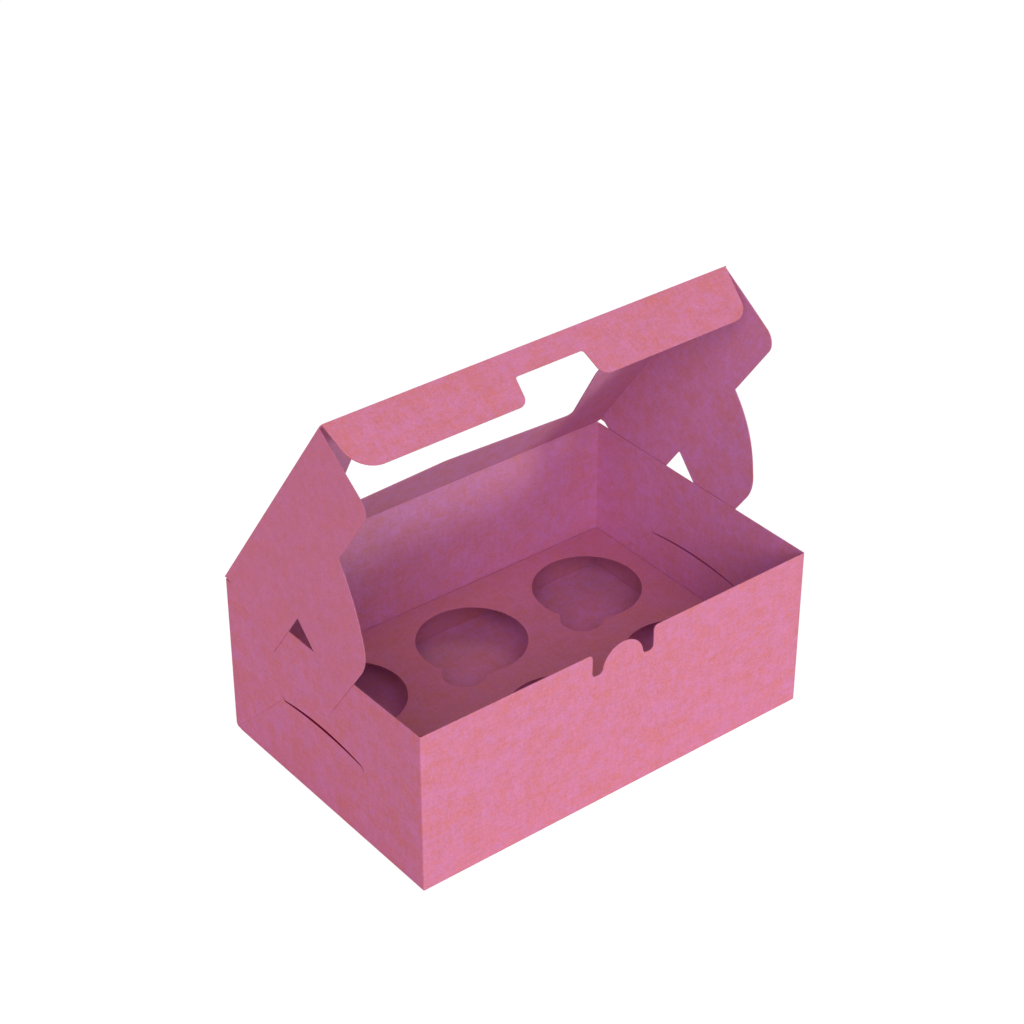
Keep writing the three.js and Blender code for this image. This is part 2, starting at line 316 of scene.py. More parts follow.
def add_node(tree, kind, settings=None, **links):
    """Adds a node, sets its settings, and links or sets its inputs, a space in an input's name as _."""
    node = tree.nodes.new(kind)
    for name, value in (settings or {}).items():
        setattr(node, name, value)
    for name, value in links.items():
        socket = node.inputs[int(name[1:])] if name[1:].isdigit() else node.inputs[name.replace("_", " ")]
        if isinstance(value, bpy.types.NodeSocket):
            tree.links.new(value, socket)
        else:
            socket.default_value = value
    return node


# The mottle's layers, from clouds of the dye down to single fibres. Noise is 0.5 on average, which
# gives the middle of each sum of layers.
CLOUDS = {"cell_mm": (19, 15), "detail": 4.0, "rough": 0.85, "shift": 0.0}
STREAKS_ALONG = {"cell_mm": (9, 2.2), "detail": 3.0, "rough": 0.8, "shift": 3.7}
STREAKS_ACROSS = {"cell_mm": (2.2, 9), "detail": 3.0, "rough": 0.8, "shift": 8.1}
PATCHES = {"cell_mm": (7, 7), "detail": 3.0, "rough": 0.8, "shift": 11.3}
FIBRES_ALONG = {"cell_mm": (1.8, 0.5), "detail": 2.0, "rough": 0.7, "shift": 1.3}
FIBRES_ACROSS = {"cell_mm": (0.5, 1.8), "detail": 2.0, "rough": 0.7, "shift": 5.9}
STREAK_SHARE = 0.7
PATCH_SHARE = 0.6
DYE_MIDDLE = 0.5 + STREAK_SHARE
DYE_SPREAD = 0.24
SHADE_MIDDLE = 1.0 + PATCH_SHARE / 2
SHADE_SPREAD = 0.5
SHADE_DEPTH = 0.13
FELT_STRENGTH = 0.25
FELT_HEIGHT = 0.00006
BOARD_ROUGHNESS = 0.88
BOARD_IOR = 1.48
BOARD_GLOSS = 0.05
PAINTED_SHADE_COLOUR = "#68142c"


def paperboard(name, low, high, inner_tint, mottle=1.0):
    """Board dyed in the pulp: the dye took unevenly, so the colour drifts between salmon and magenta in
    clouds and streaks of 1 to 20 mm along and across the sheet, under a fine felt of fibres and specks
    of about 0.5 mm. The inner face's colour is multiplied by inner_tint. Where the shade tone is below 1,
    the colour is mixed towards a dark red as painted shade. The eye sees a matt, mottled pink."""
    material = bpy.data.materials.new(name)
    material.use_nodes = True
    tree = material.node_tree
    tree.nodes.clear()
    sheet = add_node(tree, "ShaderNodeUVMap", {"uv_map": "sheet"})

    def noise(cell_mm, detail, rough, shift):
        """Noise on the flat sheet whose largest cells measure cell_mm along and across it."""
        scale = (1 / (cell_mm[0] * MM), 1 / (cell_mm[1] * MM), 1.0)
        place = add_node(tree, "ShaderNodeMapping", Vector=sheet.outputs["UV"], Scale=scale,
                         Location=(shift, 2 * shift, 0.0))
        return add_node(tree, "ShaderNodeTexNoise", {"noise_dimensions": "2D"}, Vector=place.outputs[0],
                        Scale=1.0, Detail=detail, Roughness=rough).outputs["Fac"]

    def add(first, second, share=1.0):
        """first + share * second."""
        return add_node(tree, "ShaderNodeMath", {"operation": "MULTIPLY_ADD"}, _0=second, _1=share,
                        _2=first).outputs[0]

    dye = add(noise(**CLOUDS), noise(**STREAKS_ALONG), STREAK_SHARE)
    dye = add(dye, noise(**STREAKS_ACROSS), STREAK_SHARE)
    spread = DYE_SPREAD / mottle
    taken = add_node(tree, "ShaderNodeMapRange", Value=dye, From_Min=DYE_MIDDLE - spread,
                     From_Max=DYE_MIDDLE + spread)
    dyed = add_node(tree, "ShaderNodeMix", {"data_type": "RGBA"}, _0=taken.outputs["Result"],
                    _6=linear(low), _7=linear(high))
    inner = add_node(tree, "ShaderNodeAttribute", {"attribute_name": "inner"})
    face = add_node(tree, "ShaderNodeMix", {"data_type": "RGBA", "blend_type": "MULTIPLY"},
                    _0=inner.outputs["Fac"], _6=dyed.outputs[2], _7=list(inner_tint) + [1.0])
    # Painted shade: the shade tone mixes the colour towards the dark red, on cut edges and in slits.
    shade_tone = add_node(tree, "ShaderNodeAttribute", {"attribute_name": "shade_tone"})
    with_painted_shade = add_node(tree, "ShaderNodeMix", {"data_type": "RGBA"}, _0=shade_tone.outputs["Fac"],
                     _6=linear(PAINTED_SHADE_COLOUR), _7=face.outputs[2])
    felt = add(noise(**FIBRES_ALONG), noise(**FIBRES_ACROSS))
    grain = add(felt, noise(**PATCHES), PATCH_SHARE)
    shade = add_node(tree, "ShaderNodeMapRange", Value=grain, From_Min=SHADE_MIDDLE - SHADE_SPREAD,
                     From_Max=SHADE_MIDDLE + SHADE_SPREAD, To_Min=1 - SHADE_DEPTH, To_Max=1 + SHADE_DEPTH)
    shaded = add_node(tree, "ShaderNodeVectorMath", {"operation": "SCALE"}, _0=with_painted_shade.outputs[2],
                      Scale=shade.outputs["Result"])
    bump = add_node(tree, "ShaderNodeBump", Height=felt, Strength=FELT_STRENGTH, Distance=FELT_HEIGHT)
    surface = add_node(tree, "ShaderNodeBsdfPrincipled", Base_Color=shaded.outputs[0],
                       Roughness=BOARD_ROUGHNESS, IOR=BOARD_IOR, Specular_IOR_Level=BOARD_GLOSS,
                       Normal=bump.outputs["Normal"])
    add_node(tree, "ShaderNodeOutputMaterial", Surface=surface.outputs["BSDF"])
    return material


BOARD_SALMON = "#d0878f"
BOARD_MAGENTA = "#d18fb8"
BOARD_INNER_TINT = (1.0, 1.15, 1.28)
pink_board = paperboard("uncoated paperboard, dyed pink", BOARD_SALMON, BOARD_MAGENTA, BOARD_INNER_TINT)

# Tray
# The tray is the lower half of the carton: a floor and four walls with glued corners. Its front wall has
# a thumb notch round a half-disc catch, and each side wall a curved slit that takes the lid's tongue,
# with a scored line from the slit's rear end to the bottom corner, where the flat-packed wall folds.
TRAY_LOW, TRAY_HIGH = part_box("tray")
WIDTH = (TRAY_HIGH[0] - TRAY_LOW[0]) / MM
DEPTH = (TRAY_HIGH[1] - TRAY_LOW[1]) / MM
HEIGHT = (TRAY_HIGH[2] - TRAY_LOW[2]) / MM
LID_JOINT, FLAP_JOINT = frame["record"]["behaviour"]["joints"][:2]
HINGE = np.array(LID_JOINT["pos_m"]) / MM
UPRIGHT_FOLD = FOLD_RADIUS - HALF
LEVEL_FOLD = FOLD_RADIUS - HALF
FRONT_LEAN = -0.25
LEFT_LEAN = -0.1
RIGHT_LEAN = 0.3
RIM_DROP = 0.45
LEFT_RIM_SAG = 0.75
NOTCH_SHIFT = 0.85
NOTCH_HALF = 19.2
NOTCH_DEPTH = 13.7
NOTCH_LIP = 2.6
NOTCH_FLOOR = 2.4
CATCH_RADIUS = 12.8
CATCH_DROP = 0.6
CATCH_FOOT = 3.0
CATCH_FOOT_INSET = 0.2
CATCH_SPAN_DEG = (14, 166)
SLIT_LENGTH = 68.0
SLIT_ARCH = 2.9
SLIT_END = 44.8
SLIT_MIDDLE_WIDTH = 1.75
SLIT_END_WIDTH = 0.55
SLIT_HOOK = 2.4
SLIT_HOOK_SHARE = 0.07
SLIT_FRONT_HOOK = -0.8
SLIT_GAP = 0.04
SLIT_CLOSED_FROM = 0.12
SLIT_CLOSED_TO = 0.02
SLIT_POINTS = 61
SCORE_WIDTH = 0.3
SCORE_DEPTH = 0.2
SCORE_TOP = (1.2, -0.8)
SCORE_FOOT = (0.8, 0.4)
SCORE_POINTS = 60
SCORE_SHIFTS = (-1.2, -0.6, -0.3, 0.0, 0.3, 0.6, 1.2)
SCORE_REACH = 1.6
SCORE_CLEARANCE = 0.25
SCORE_LOWEST = 0.05
HINGE_INSET = 0.2
RIM_CLEARANCE = 0.5
WALL_CLEARANCE = 0.12
GRID_STEP = 5.0
FIRST_ROW = 2.0
LAST_ROW = 1.0
FLOOR_STEP = 10.0
FLOOR_MARGIN = 1.0

middle_x = WIDTH / 2 - HALF - UPRIGHT_FOLD
middle_y = DEPTH / 2 - HALF - UPRIGHT_FOLD
quarter = UPRIGHT_FOLD * math.pi / 2
lengths = [middle_x, quarter, 2 * middle_y, quarter, 2 * middle_x,
           quarter, 2 * middle_y, quarter, middle_x]
knots = np.concatenate([[0.0], np.cumsum(lengths)])
knot_x = np.array([0, -1, -1, -1, -1, 1, 1, 1, 1, 0]) * middle_x
knot_y = np.array([1, 1, 1, -1, -1, -1, -1, 1, 1, 1]) * middle_y
knot_turn = np.radians([90, 90, 180, 180, 270, 270, 360, 360, 450, 450])
level_arc = LEVEL_FOLD * math.pi / 2
wall_top = level_arc + HEIGHT - HALF - LEVEL_FOLD - RIM_DROP
hinge_top = wall_top + RIM_DROP + HINGE[2] - HEIGHT
left_middle = (knots[2] + knots[3]) / 2
front_middle = (knots[4] + knots[5]) / 2 + NOTCH_SHIFT
right_middle = (knots[6] + knots[7]) / 2


def score_line(middle, corner_knot, rear):
    """The straight scored line from beside the slit's rear end down to the wall's bottom rear corner."""
    top = np.array([middle + rear * (SLIT_LENGTH / 2 + SCORE_TOP[0]), SLIT_END + SCORE_TOP[1]])
    foot = np.array([knots[corner_knot] - rear * SCORE_FOOT[0], level_arc + SCORE_FOOT[1]])
    return np.linspace(top, foot, SCORE_POINTS)


scores = [score_line(left_middle, 2, -1), score_line(right_middle, 7, 1)]


def score_groove(p, h):
    """How deep the scored lines are pressed in at (p, h): depth * exp(-(distance / width) ** 2)."""
    points = np.column_stack([p, h])
    near = np.min([distance(points, line, closed=False) for line in scores], axis=0)
    return SCORE_DEPTH * np.exp(-(near / SCORE_WIDTH) ** 2)


def tray_wall(p, h, w):
    """The walls' sheet. p runs round the box from the middle of the back, h up from the floor's edge.

    The corner centre c(p) and the way out n(p) are straight between knots. The lower fold turns by
    f = (arc - h) / radius, so the point is c + n (upright radius - level radius (1 - cos f) + w cos f)
    at height half + radius (1 - sin f) - w sin f. The front and side walls lean in, or out where the
    lean is negative, by lean (z / H)^2 (1 - s^2) at s along them.
    """
    turned = np.interp(p, knots, knot_turn)
    out = np.column_stack([np.cos(turned), np.sin(turned)])
    centre = np.column_stack([np.interp(p, knots, knot_x), np.interp(p, knots, knot_y)])
    fold = ((level_arc - h) / LEVEL_FOLD).clip(0, math.pi / 2)
    z = HALF + LEVEL_FOLD * (1 - np.sin(fold)) + (h - level_arc).clip(0)
    along = 2 - (centre[:, 0] / middle_x) ** 2 - (centre[:, 1] / middle_y) ** 2
    bow = FRONT_LEAN * (-out[:, 1]).clip(0) + LEFT_LEAN * (-out[:, 0]).clip(0)
    bow += RIGHT_LEAN * out[:, 0].clip(0)
    lean = bow * (z / HEIGHT).clip(0, 1) ** 2 * along
    reach = UPRIGHT_FOLD - LEVEL_FOLD * (1 - np.cos(fold)) + w * np.cos(fold) - lean - score_groove(p, h)
    return np.column_stack([centre + out * reach[:, None], z - w * np.sin(fold)])


def slit_loop(middle, rear):
    """A slit's loop and its rim. Along it s runs from -1 to 1. Its middle line lies at
    h = end + arch (1 - s^2), and its width is end width + (middle width - end width) (1 - s^2).

    Over the last share of each end, t from 0 to 1, it hooks by hook t^2, up at the rear and down at the
    front. As a knife cut stays almost closed on the inner face, the rim narrows inwards to a V. rear is
    +1 where the back of the box lies at larger p, else -1. The loop runs clockwise, as holes do.
    """
    s = np.linspace(-1, 1, SLIT_POINTS)
    h = level_arc - HALF - LEVEL_FOLD + SLIT_END + SLIT_ARCH * (1 - s ** 2)
    t = ((np.abs(s) - 1) / SLIT_HOOK_SHARE + 1).clip(0, 1)
    h += t ** 2 * SLIT_HOOK * np.where(s > 0, 1.0, SLIT_FRONT_HOOK)
    width = SLIT_END_WIDTH + (SLIT_MIDDLE_WIDTH - SLIT_END_WIDTH) * (1 - s ** 2)
    p = middle + rear * s * SLIT_LENGTH / 2
    upper = np.column_stack([p, h + width / 2])
    lower = np.column_stack([p, h - width / 2])
    loop = np.vstack([upper, lower[::-1]])
    closing = EDGE_SOFTNESS + (np.concatenate([width, width[::-1]])[:, None] - SLIT_GAP) / 2
    if rear < 0:
        loop, closing = loop[::-1], closing[::-1]
    # Every step of the slit's rim gets the lowest shade tone: its sides are painted dark red as painted
    # shade.
    steps = ((EDGE_SOFTNESS, HALF - EDGE_SOFTNESS), (closing, SLIT_CLOSED_FROM - HALF),
             (closing, SLIT_CLOSED_TO - HALF))
    return loop, [(out, w, SLIT_SHADE_TONE) for out, w in steps]


corner_columns = [np.linspace(knots[k], knots[k + 1], FOLD_STEPS + 1) for k in (1, 3, 5, 7)]
flat_steps = np.ceil(np.diff(knots) / GRID_STEP).astype(int)
flat_columns = [np.linspace(knots[k], knots[k + 1], flat_steps[k] + 1) for k in (0, 2, 4, 6, 8)]
columns = np.unique(np.concatenate(corner_columns + flat_columns).round(9))
fold_rows = np.linspace(0, level_arc, FOLD_STEPS + 1)
rows = np.concatenate([fold_rows, np.arange(level_arc + FIRST_ROW, wall_top - LAST_ROW, GRID_STEP)])

floor_h = wall_top - NOTCH_DEPTH
lip = NOTCH_HALF + NOTCH_LIP
catch = arc((0, wall_top - CATCH_DROP - CATCH_RADIUS), CATCH_RADIUS, *CATCH_SPAN_DEG)
foot_corner = (CATCH_RADIUS - CATCH_FOOT_INSET, floor_h)
half_notch = np.vstack([
    arc((lip, wall_top - NOTCH_LIP), NOTCH_LIP, 90, 180),
    rounded(np.array([NOTCH_HALF, wall_top]), (NOTCH_HALF, floor_h), np.array([0, floor_h]), NOTCH_FLOOR),
    rounded(np.array([NOTCH_HALF, floor_h]), foot_corner, catch[0], CATCH_FOOT),
])
notch = np.vstack([half_notch, catch, (half_notch * (-1, 1))[::-1]]) + (front_middle, 0)
rim_columns = columns[::-1]
on_hinge = (rim_columns < knots[1] - HINGE_INSET) | (rim_columns > knots[8] + HINGE_INSET)
left_way = ((rim_columns - left_middle) / (knots[3] - left_middle)).clip(-1, 1)
rim_heights = np.where(on_hinge, hinge_top, wall_top - LEFT_RIM_SAG * (1 - left_way ** 2))
rim = np.column_stack([rim_columns, rim_heights])
rim_right = rim[rim_columns > front_middle + lip + RIM_CLEARANCE]
rim_left = rim[rim_columns < front_middle - lip - RIM_CLEARANCE]
step_right = np.array([[knots[8] + HINGE_INSET, hinge_top], [knots[8] + HINGE_INSET / 2, wall_top]])
step_left = np.array([[knots[1] - HINGE_INSET / 2, wall_top], [knots[1] - HINGE_INSET, hinge_top]])
right_hinge = rim_right[:, 0] > knots[8] + HINGE_INSET
left_hinge = rim_left[:, 0] < knots[1] - HINGE_INSET
seam_rows = rows[1:]
wall_outline = np.vstack([
    np.column_stack([columns, np.zeros(len(columns))]),
    np.column_stack([np.full(len(seam_rows), knots[-1]), seam_rows]),
    rim_right[right_hinge], step_right, rim_right[~right_hinge],
    notch,
    rim_left[~left_hinge], step_left, rim_left[left_hinge],
    np.column_stack([np.zeros(len(seam_rows)), seam_rows[::-1]]),
])
left_slit, left_rim = slit_loop(left_middle, -1)
right_slit, right_rim = slit_loop(right_middle, 1)
wall_loops = [wall_outline, left_slit, right_slit]
wall_points = grid(columns[1:-1], rows[1:], wall_loops, WALL_CLEARANCE)
near_score = np.min([distance(wall_points, line, closed=False) for line in scores], axis=0)
wall_points = wall_points[near_score > SCORE_REACH]
score_points = []
for line in scores:
    across = outwards(line)[1:-1].mean(axis=0)
    for shift in SCORE_SHIFTS:
        score_points.append(line[1:-1] + across / np.linalg.norm(across) * shift)
score_points = np.vstack(score_points)
clear = np.min([distance(score_points, loop) for loop in wall_loops], axis=0) > SCORE_CLEARANCE
clear &= score_points[:, 1] > level_arc + SCORE_LOWEST
wall_points = np.vstack([wall_points, score_points[clear]])


def wall_still(loop):
    """The seam keeps its p and the floor's edge its h, so that the sheet closes on itself."""
    at_seam = (loop[:, 0] < SAME_PLACE) | (loop[:, 0] > knots[-1] - SAME_PLACE)
    return at_seam, loop[:, 1] < SAME_PLACE


walls = board_shell(wall_loops, wall_points, tray_wall, [CUT_RIM, left_rim, right_rim], wall_still)


def floor_faces():
    """The floor's two faces: the ring where the walls' lower fold ends, filled at z = 0 and z = board.
    The ring's four corners have no radius, so of the points that meet there only one is kept."""
    ring_p = columns[:-1]
    ring = tray_wall(ring_p, np.zeros(len(ring_p)), np.zeros(len(ring_p)))[:, :2]
    ring = ring[np.linalg.norm(np.roll(ring, -1, axis=0) - ring, axis=1) > SAME_PLACE]
    steps_x = np.arange(-WIDTH / 2 + FLOOR_STEP / 2, WIDTH / 2, FLOOR_STEP)
    steps_y = np.arange(-DEPTH / 2 + FLOOR_STEP / 2, DEPTH / 2, FLOOR_STEP)
    flat, triangles = filled([ring], grid(steps_x, steps_y, [ring], FLOOR_MARGIN))
    count = len(flat)
    both = np.vstack([flat, flat])
    points = np.column_stack([both, np.repeat([BOARD, 0.0], count)])
    faces = [tuple(t) for t in triangles] + [tuple(t[::-1] + count) for t in triangles]
    return points, faces, both, np.repeat([-HALF, HALF], count), np.ones(2 * count)


board_object("tray_board", [walls, floor_faces()], pink_board, "tray", "tray")

# Insert
# A separate sheet of the same board, coloured darker than the rest as painted shade: a platform with six
# round holes, each with a half-round finger space at its rim, on four legs that are folded down and stand
# on the tray's floor.
INSERT_LOW, INSERT_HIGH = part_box("cupcake_insert")
HOLE_RADIUS = 29.5
HOLE_PITCH = (78.0, 76.0)
LOBE_RADIUS = 11.3
LOBE_WAY_DEG = 225.0
CORNER_RELIEF = 0.4
PLATFORM_STEPS = (24, 16)
INSERT_CLEARANCE = 0.08
# The insert's two colours are the board's, painted darker as painted shade.
INSERT_SHADED_SALMON = "#c2858e"
INSERT_SHADED_MAGENTA = "#c489ae"
INSERT_INNER_TINT = (1.0, 1.0, 1.0)

insert_flat_x = INSERT_HIGH[0] / MM - HALF - LEVEL_FOLD
insert_flat_y = INSERT_HIGH[1] / MM - HALF - LEVEL_FOLD
insert_middle = INSERT_HIGH[2] / MM - HALF
leg = insert_middle - LEVEL_FOLD - INSERT_LOW[2] / MM
insert_board = paperboard("insert board, pink with painted shade", INSERT_SHADED_SALMON, INSERT_SHADED_MAGENTA, INSERT_INNER_TINT)


def insert_sheet(a, b, w):
    """A flat cross whose arms fold down: beyond the platform's edge s0 an arm turns by
    f = (|s| - s0) / radius up to 90 degrees, and then runs straight down."""
    place, drop = [], np.zeros(len(a))
    for s, edge in ((a, insert_flat_x), (b, insert_flat_y)):
        fold = ((np.abs(s) - edge) / LEVEL_FOLD).clip(0, math.pi / 2)
        place.append(np.sign(s) * (np.abs(s).clip(0, edge) + (LEVEL_FOLD + w) * np.sin(fold)))
        drop += (LEVEL_FOLD + w) * (1 - np.cos(fold)) + (np.abs(s) - edge - level_arc).clip(0)
    return np.column_stack(place + [insert_middle + w - drop])


def hole_loop(x, y):
    """The outline of a round hole joined with its finger lobe, clockwise. The circles of radii R and r,
    their centres R apart, cross at +-acos(1 - r^2 / 2R^2) from the lobe's way, seen from the hole."""
    meet = math.degrees(math.acos(1 - LOBE_RADIUS ** 2 / (2 * HOLE_RADIUS ** 2)))
    lobe_meet = 90 + meet / 2
    way = math.radians(LOBE_WAY_DEG)
    lobe = (x + HOLE_RADIUS * math.cos(way), y + HOLE_RADIUS * math.sin(way))
    round_part = arc((x, y), HOLE_RADIUS, LOBE_WAY_DEG - meet, LOBE_WAY_DEG + meet - 360)
    lobe_part = arc(lobe, LOBE_RADIUS, LOBE_WAY_DEG + lobe_meet, LOBE_WAY_DEG - lobe_meet)
    return np.vstack([round_part, lobe_part[1:-1]])


reach_x = insert_flat_x + level_arc + leg
reach_y = insert_flat_y + level_arc + leg
notch_x = insert_flat_x - CORNER_RELIEF
notch_y = insert_flat_y - CORNER_RELIEF
arm_rows = np.concatenate([fold_rows, [level_arc + leg / 3, level_arc + 2 * leg / 3]])
arms_x = insert_flat_x + arm_rows
arms_y = insert_flat_y + arm_rows
side_x = np.linspace(0, notch_x, PLATFORM_STEPS[0])
side_y = np.linspace(0, notch_y, PLATFORM_STEPS[1])


def mirrored(values):
    """The values, from 0 up, with their negatives before them."""
    return np.concatenate([-values[::-1], values[values > 0]])


insert_columns = mirrored(np.concatenate([side_x, arms_x]))
insert_rows = mirrored(np.concatenate([side_y, arms_y]))
side_arm = np.column_stack([np.append(arms_x, reach_x), np.full(len(arms_x) + 1, notch_y)])
end_arm = np.column_stack([np.full(len(arms_y) + 1, notch_x), np.append(arms_y, reach_y)])
corner = np.vstack([side_arm[::-1], [[notch_x, notch_y]], end_arm])
cross = np.vstack([corner, (corner * (-1, 1))[::-1], corner * (-1, -1), (corner * (1, -1))[::-1]])
hole_loops = [hole_loop(i * HOLE_PITCH[0], j * HOLE_PITCH[1] / 2) for i in (-1, 0, 1) for j in (-1, 1)]
insert_loops = [cross] + hole_loops
insert_points = grid(insert_columns, insert_rows, insert_loops, INSERT_CLEARANCE)
insert_shell = board_shell(insert_loops, insert_points, insert_sheet, [CUT_RIM] * len(insert_loops))
board_object("insert_board", [insert_shell], insert_board, "tray", "cupcake_insert")

# Lid
# The lid is a panel that hinges on the tray's back wall, with a wide die-cut window and no film. The
# window's four sides each dip to a blunt point in the middle. All four of its own edges are folds.
LID_OPEN_DEG = LID_JOINT["range_deg"][1]
LID_GAP = 0.3
LID_HALF = WIDTH / 2 + LID_GAP + HALF
LID_LENGTH = DEPTH + LID_GAP
WINDOW_SIDE_MARGIN = 34.1
WINDOW_END_MARGIN = 29.9
WINDOW_SIDE_DIP = 8.4
WINDOW_END_DIP = 9.0
WINDOW_CORNER = 3.0
WINDOW_POINT = 18.0
LID_CORNER = 1.2
LID_STEP = 6.0
LID_CLEARANCE = 2.0
LID_BLANK_START = (1000, 0)


def folded_frame(origin, angle_deg):
    """place(x, y, w) for a flat sheet turned by angle a about the fold line along X at origin (y0, z0):
    the point (x, y0 + y cos a - w sin a, z0 + y sin a + w cos a)."""
    cos, sin = math.cos(math.radians(angle_deg)), math.sin(math.radians(angle_deg))

    def place(x, y, w):
        return np.column_stack([x, origin[0] + y * cos - w * sin, origin[1] + y * sin + w * cos])
    return place


lid_place = folded_frame(HINGE[1:], -LID_OPEN_DEG)
window_half = LID_HALF - WINDOW_SIDE_MARGIN
near, far, mid = -WINDOW_END_MARGIN, WINDOW_END_MARGIN - LID_LENGTH, -LID_LENGTH / 2
window = outline([
    (-window_half, far, WINDOW_CORNER), (0, far + WINDOW_END_DIP, WINDOW_POINT),
    (window_half, far, WINDOW_CORNER), (window_half - WINDOW_SIDE_DIP, mid, WINDOW_POINT),
    (window_half, near, WINDOW_CORNER), (0, near - WINDOW_END_DIP, WINDOW_POINT),
    (-window_half, near, WINDOW_CORNER), (WINDOW_SIDE_DIP - window_half, mid, WINDOW_POINT),
])[::-1]
hinge_end = np.array([(LID_HALF - LID_CORNER, 0), (LID_HALF, -LID_CORNER)])
lid_outline = np.vstack([
    hinge_end * (-1, 1), hinge_end[::-1] * (-1, -1) + (0, -LID_LENGTH),
    [(LID_HALF, -LID_LENGTH)], hinge_end[::-1],
])
lid_loops = [divided(lid_outline, LID_STEP), divided(window, LID_STEP)]
lid_columns = np.arange(LID_STEP - LID_HALF, LID_HALF, LID_STEP)
lid_rows = np.arange(LID_STEP - LID_LENGTH, 0, LID_STEP)
lid_points = grid(lid_columns, lid_rows, lid_loops, LID_CLEARANCE)
lid_shell = board_shell(lid_loops, lid_points, lid_place, [FOLD_RIM, CUT_RIM])
board_object("lid_board", [lid_shell], pink_board, "lid", "lid_panel", LID_BLANK_START)

# Tuck flap
# The flap is folded down from the lid's front edge. A recess in its middle leaves a narrow bridge for
# the tray's catch to hook over, and its two ears have wide round outer corners.
FLAP_FOLD_DEG = -FLAP_JOINT["range_deg"][0]
FLAP_PIN = np.array(FLAP_JOINT["pos_m"])[1:] / MM
FLAP_DEPTH = 28.3
FLAP_RIGHT_DEPTH = 28.9
FLAP_ROOT = LID_HALF - 0.4
FLAP_LEFT_TIP = LID_HALF - 3.0
FLAP_RIGHT_TIP = LID_HALF - 7.2
FLAP_LEFT_CORNER = 15.5
FLAP_RIGHT_CORNER = 11.0
BRIDGE_DEPTH = 13.2
RECESS_HALF = 20.1
RECESS_LEFT_MOUTH = RECESS_HALF + 2.8
RECESS_RIGHT_MOUTH = RECESS_HALF + 1.6
RECESS_CORNER = 1.8
EAR_CORNER = 5.5
FLAP_STEP = 5.0
FLAP_FIRST_ROW = 4.0
FLAP_CLEARANCE = 1.5
FLAP_BLANK_START = (1000, -170)

flap_outline = outline([
    (-FLAP_ROOT, 0, 0), (-FLAP_LEFT_TIP, -FLAP_DEPTH, FLAP_LEFT_CORNER),
    (-RECESS_LEFT_MOUTH, -FLAP_DEPTH, EAR_CORNER),
    (-RECESS_HALF, -BRIDGE_DEPTH, RECESS_CORNER), (RECESS_HALF, -BRIDGE_DEPTH, RECESS_CORNER),
    (RECESS_RIGHT_MOUTH, -FLAP_RIGHT_DEPTH, EAR_CORNER),
    (FLAP_RIGHT_TIP, -FLAP_RIGHT_DEPTH, FLAP_RIGHT_CORNER), (FLAP_ROOT, 0, 0),
])
flap_place = folded_frame(FLAP_PIN, FLAP_FOLD_DEG - LID_OPEN_DEG)
flap_loops = [divided(flap_outline, FLAP_STEP)]
flap_columns = np.arange(FLAP_STEP - LID_HALF, LID_HALF, FLAP_STEP)
flap_rows = np.arange(FLAP_FIRST_ROW - FLAP_DEPTH, 0, FLAP_STEP)
flap_points = grid(flap_columns, flap_rows, flap_loops, FLAP_CLEARANCE)
flap_shell = board_shell(flap_loops, flap_points, flap_place, [CUT_RIM])
board_object("flap_board", [flap_shell], pink_board, "tuck_flap", "tuck_flap", FLAP_BLANK_START)

# Wings
# A wing is folded down from each side of the lid and lies outside the tray's side wall. Below its band
# of 46 mm hangs a tongue that enters the side wall's slit as the lid closes. The tongue's front edge is
# an arc about the hinge, so that it slides down through the slit.
WING_BAND = 46.2
WING_FRONT_TOP = {"left_wing": LID_LENGTH - 2.5, "right_wing": LID_LENGTH - 0.8}
WING_FRONT_FOOT = {"left_wing": LID_LENGTH - 2.0, "right_wing": LID_LENGTH - 0.6}
WING_FRONT_CORNER = 8.5
WING_FOLD_START = 1.4
WING_REAR = 3.3
WING_REAR_RISE = 3.0
WING_REAR_CORNER = 3.0
WING_RISE_CORNER = 1.5
TONGUE_REACH = 90.2
TONGUE_ARC = 122.6
TONGUE_BLEND = 21.5
TONGUE_SWELL = {"left_wing": 0.4, "right_wing": 1.6}
CALMER_MOTTLE = 0.6
WING_BULGE = 0.8
WING_PRESS = 0.2
BULGE_START = 30.0
BULGE_RUN = 60.0
HEEL = (26.0, 82.0)
HEEL_TIP_CORNER = 2.5
HEEL_CORNER = 5.0
NECK = {"left_wing": 42.8, "right_wing": 41.2}
NECK_REACH = 70.0
NECK_CORNER = 6.0
NECK_ROOT = 47.0
NECK_ROOT_CORNER = 0.8
WING_STEP = 5.0
WING_FIRST_ROW = 3.0
WING_CLEARANCE = 1.5
WING_BLANK_START = {"left_wing": (1000, 0), "right_wing": (1600, 0)}

blend_v = TONGUE_REACH - TONGUE_BLEND
blend_u = math.sqrt((TONGUE_ARC - TONGUE_BLEND) ** 2 - blend_v ** 2)
root_deg = math.degrees(math.asin(WING_BAND / TONGUE_ARC))
blend_deg = math.degrees(math.atan2(blend_v, blend_u))


def wing_place(side):
    """u runs forward from the hinge, v down from the fold, w out. The front bulges out by
    bulge sin(pi v / reach) g and the rear presses in by press (v / band) (1 - g), where g is the
    smooth step 3 t^2 - 2 t^3 of t = (u - start) / run."""
    def place(u, v, w):
        t = ((u - BULGE_START) / BULGE_RUN).clip(0, 1)
        g = 3 * t ** 2 - 2 * t ** 3
        bulge = WING_BULGE * np.sin(math.pi * (v / TONGUE_REACH).clip(0, 1)) * g
        press = WING_PRESS * (v / WING_BAND).clip(0, 1) * (1 - g)
        return lid_place(side * (LID_HALF + w + bulge - press), -u, -v)
    return place


